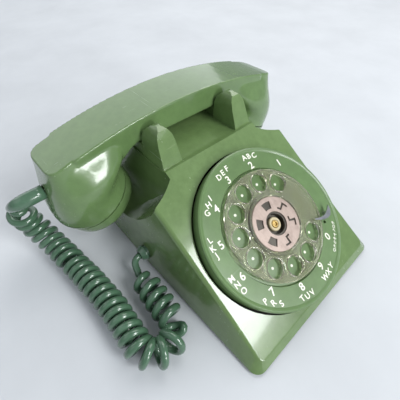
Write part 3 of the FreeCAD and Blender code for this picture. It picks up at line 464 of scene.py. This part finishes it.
def soften_handset():
    """The handset moulding: one closed skin, its grip flowing into the ends."""
    ob = tidy("handset_body", bevel=0.0)
    me = ob.data
    me.remesh_voxel_size = 0.0007
    me.remesh_voxel_adaptivity = 0.0
    rm = ob.modifiers.new("skin", 'REMESH')
    rm.mode = 'VOXEL'
    rm.voxel_size = 0.0007
    rm.use_smooth_shade = True
    bpy.context.view_layer.update()
    dg = bpy.context.evaluated_depsgraph_get()
    new = bpy.data.meshes.new_from_object(ob.evaluated_get(dg))
    ob.modifiers.clear()
    mats = [m for m in me.materials]
    ob.data = new
    new.materials.clear()
    for m in mats:
        new.materials.append(m)
    n = len(new.vertices)
    co = np.empty(n * 3)
    new.vertices.foreach_get("co", co)
    co = co.reshape(-1, 3)
    ed = np.empty(len(new.edges) * 2, int)
    new.edges.foreach_get("vertices", ed)
    ed = ed.reshape(-1, 2)
    deg = np.bincount(ed.ravel(), minlength=n).astype(float)[:, None]
    x = np.abs(co[:, 0]) * 1000
    crown = CROWN_TOP - 345.0 + np.sqrt(345.0 ** 2 - (co[:, 0] * 1000) ** 2)
    below = crown - co[:, 2] * 1000
    # height above the plane of the cap seam at this end
    seam = (co[:, 2] * 1000 - SEAM_Z) * math.cos(SEAM_TILT) + (x - SEAM_X) * math.sin(SEAM_TILT) * SEAM_SIGN
    w = np.clip((below - 3.0) / 6.0, 0, 1) * np.clip((seam - 1.5) / 5.0, 0, 1) * np.clip((x - 26.0) / 14.0, 0, 1)
    w = w * (1 - np.clip(1 - np.linalg.norm(co - np.array(M(-106.5, 105.0, 64.5)), axis=1) / 0.011, 0, 1))
    w = w[:, None]
    for it in range(90):
        acc = np.zeros_like(co)
        np.add.at(acc, ed[:, 0], co[ed[:, 1]])
        np.add.at(acc, ed[:, 1], co[ed[:, 0]])
        lam = 0.5 if it % 2 == 0 else -0.47
        if it < 6:
            step = np.maximum(w, 0.6)
        else:
            step = w
        co = co + lam * step * (acc / deg - co)
    new.vertices.foreach_set("co", co.ravel())
    new.update()
    for p in new.polygons:
        p.use_smooth = True
    return ob


for node, bv in (("housing_shell", 0.0005), ("number_plate", 0.0003), ("transmitter_cap", 0.0004), ("receiver_cap", 0.0004), ("finger_wheel", 0.00022), ("centre_plate", 0.00012),
                 ("wheel_hub", 0.0003), ("hub_bushing", 0.0003), ("dial_shaft", 0.0002), ("plunger_left", 0.0003), ("plunger_right", 0.0003), ("handset_cord_bushing", 0.0004),
                 ("line_cord_inlet", 0.0004), ("rubber_feet", 0.0004), ("housing_screws", 0.0002), ("base_plate", 0.0002)):
    tidy(node, bevel=bv)


soften_handset()


# ------------------------------------------------------------------ dial lettering
def ring_h(r):
    if r < 40.2:
        return 1.6
    return 1.6 + 0.7 * (r - 40.2) / 12.0


def letter(name, ch, x, s, height, turn=0.0, weight=0.0):
    cu = bpy.data.curves.new(name, 'FONT')
    cu.body = ch
    cu.align_x = 'CENTER'
    cu.align_y = 'CENTER'
    cu.size = 1.0
    cu.offset = weight
    cu.resolution_u = 4
    ob = bpy.data.objects.new(name, cu)
    SC.collection.objects.link(ob)
    bpy.context.view_layer.update()
    me = bpy.data.meshes.new_from_object(ob)
    bpy.data.objects.remove(ob)
    bpy.data.curves.remove(cu)
    co = np.array([v.co[:] for v in me.vertices], float)
    faces = [tuple(p.vertices) for p in me.polygons]
    bpy.data.meshes.remove(me)
    mid = (co.max(0) + co.min(0)) / 2
    k = height / 0.73
    a = math.radians(turn)
    verts = []
    for p in co:
        u, w = (p[0] - mid[0]) * k, (p[1] - mid[1]) * k
        verts.append((x + u * math.cos(a) - w * math.sin(a), s + u * math.sin(a) + w * math.cos(a)))
    return verts, faces


DIGITS = {"1": 46.7, "2": 16.0, "3": -14.0, "4": -44.0, "5": -74.0, "6": -104.0, "7": -134.0, "8": -164.5, "9": 166.0, "0": 135.5}
LETTERS = {"A": (49.4, 12.1), "B": (49.7, 16.9), "C": (49.6, 22.0), "D": (48.9, -18.1), "E": (48.9, -12.9), "F": (49.1, -7.6), "G": (49.0, -49.0), "H": (48.6, -42.8), "I": (48.6, -37.2),
           "J": (48.7, -80.4), "K": (49.0, -74.2), "L": (49.2, -68.2), "M": (49.2, -98.6), "N": (49.2, -104.4), "O": (49.5, -110.4), "P": (49.6, -128.4), "R": (49.4, -135.0), "S": (49.7, -141.6),
           "T": (49.5, -160.4), "U": (49.6, -165.6), "V": (49.5, -171.0), "W": (49.5, 170.8), "X": (49.8, 165.1), "Y": (49.7, 159.4)}
groups = {"dial_digits": [], "dial_letters": []}
for ch, ang in DIGITS.items():
    r = 46.2 if ch == "1" else (43.8 if ch == "0" else 43.1)
    x, s = clock(ang, r)
    groups["dial_digits"].append((ch, x, s, 5.3, 0.0, 0.017))
for ch, (r, ang) in LETTERS.items():
    x, s = clock(ang, r)
    groups["dial_letters"].append((ch, x, s, 3.9, 0.0, 0.021))
word = "OPERATOR"
for i, ch in enumerate(word):
    ang = 145.6 + (122.6 - 145.6) * i / (len(word) - 1)
    x, s = clock(ang, 50.1)
    groups["dial_letters"].append((ch, x, s, 2.3, 0.0, 0.012))
for gname, items in groups.items():
    V, F = [], []
    for i, (ch, x, s, hgt, turn, wgt) in enumerate(items):
        vs, fs = letter(gname + "_%d" % i, ch, x, s, hgt, turn, wgt)
        base = len(V)
        for lift in (0.13, -0.02):
            for (px, ps) in vs:
                V.append(tuple(D(px, ps, ring_h(math.hypot(px, ps)) + lift)))
        n = len(vs)
        cnt = {}
        for f in fs:
            F.append(tuple(base + q for q in f))
            for a, b in zip(f, f[1:] + f[:1]):
                cnt[(a, b)] = cnt.get((a, b), 0) + 1
        for (a, b) in cnt:
            if (b, a) not in cnt:
                F.append((base + b, base + a, base + a + n, base + b + n))
    me = bpy.data.meshes.new(gname)
    me.from_pydata(V, [], F)
    me.validate()
    ob = bpy.data.objects.new(gname, me)
    SC.collection.objects.link(ob)
    me.materials.append(MAT["dot_white"])
    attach(ob, "housing")

# ------------------------------------------------------------------ floor, world and lights
me = bpy.data.meshes.new("floor")
me.from_pydata([(-3, -3, 0), (3, -3, 0), (3, 3, 0), (-3, 3, 0)], [], [(0, 1, 2, 3)])
floor = bpy.data.objects.new("floor", me)
SC.collection.objects.link(floor)
m, nt, bs = new_mat("floor_pale")
nt.links.new(ramp(nt, noise(nt, coords(nt), 9.0, 6.0, 0.6), [(0.3, srgb(196, 199, 203)), (0.7, srgb(206, 209, 213))]), bs.inputs["Base Color"])
bs.inputs["Roughness"].default_value = 0.75
me.materials.append(m)

w = bpy.data.worlds.new("world")
SC.world = w
w.use_nodes = True
bg = w.node_tree.nodes["Background"]
bg.inputs["Color"].default_value = (0.86, 0.92, 1.0, 1)
bg.inputs["Strength"].default_value = 0.36


def area(name, az, el, dist, sx, sy, power, color=(1, 1, 1), target=(0, 0, 0.045)):
    # azimuth 0 is +Y, 90 is +X
    a, e = math.radians(az), math.radians(el)
    d = Vector((math.sin(a) * math.cos(e), math.cos(a) * math.cos(e), math.sin(e)))
    ld = bpy.data.lights.new(name, 'AREA')
    ld.shape = 'RECTANGLE'
    ld.size, ld.size_y = sx, sy
    ld.energy = power
    ld.color = color
    o = bpy.data.objects.new(name, ld)
    SC.collection.objects.link(o)
    o.location = Vector(target) + d * dist
    o.rotation_mode = 'QUATERNION'
    o.rotation_quaternion = d.to_track_quat('Z', 'Y')
    o.visible_camera = False
    return o


area("window", 163, 38, 1.5, 0.42, 0.60, 15.0, (0.97, 0.99, 1.0))
area("low_window", 176, 14, 1.5, 0.30, 0.34, 7.0, (0.97, 0.99, 1.0), (-0.08, 0.03, 0.07))
area("key", 70, 50, 1.6, 1.1, 1.1, 12.0, (1.0, 0.99, 0.97))
area("back", 10, 30, 1.9, 3.0, 1.6, 17.0, (0.95, 0.98, 1.0))
area("fill", -75, 45, 1.8, 1.4, 1.0, 2.5, (0.95, 0.98, 1.0))

SC.view_settings.view_transform = 'Standard'
SC.view_settings.look = 'None'
SC.view_settings.exposure = 0.0
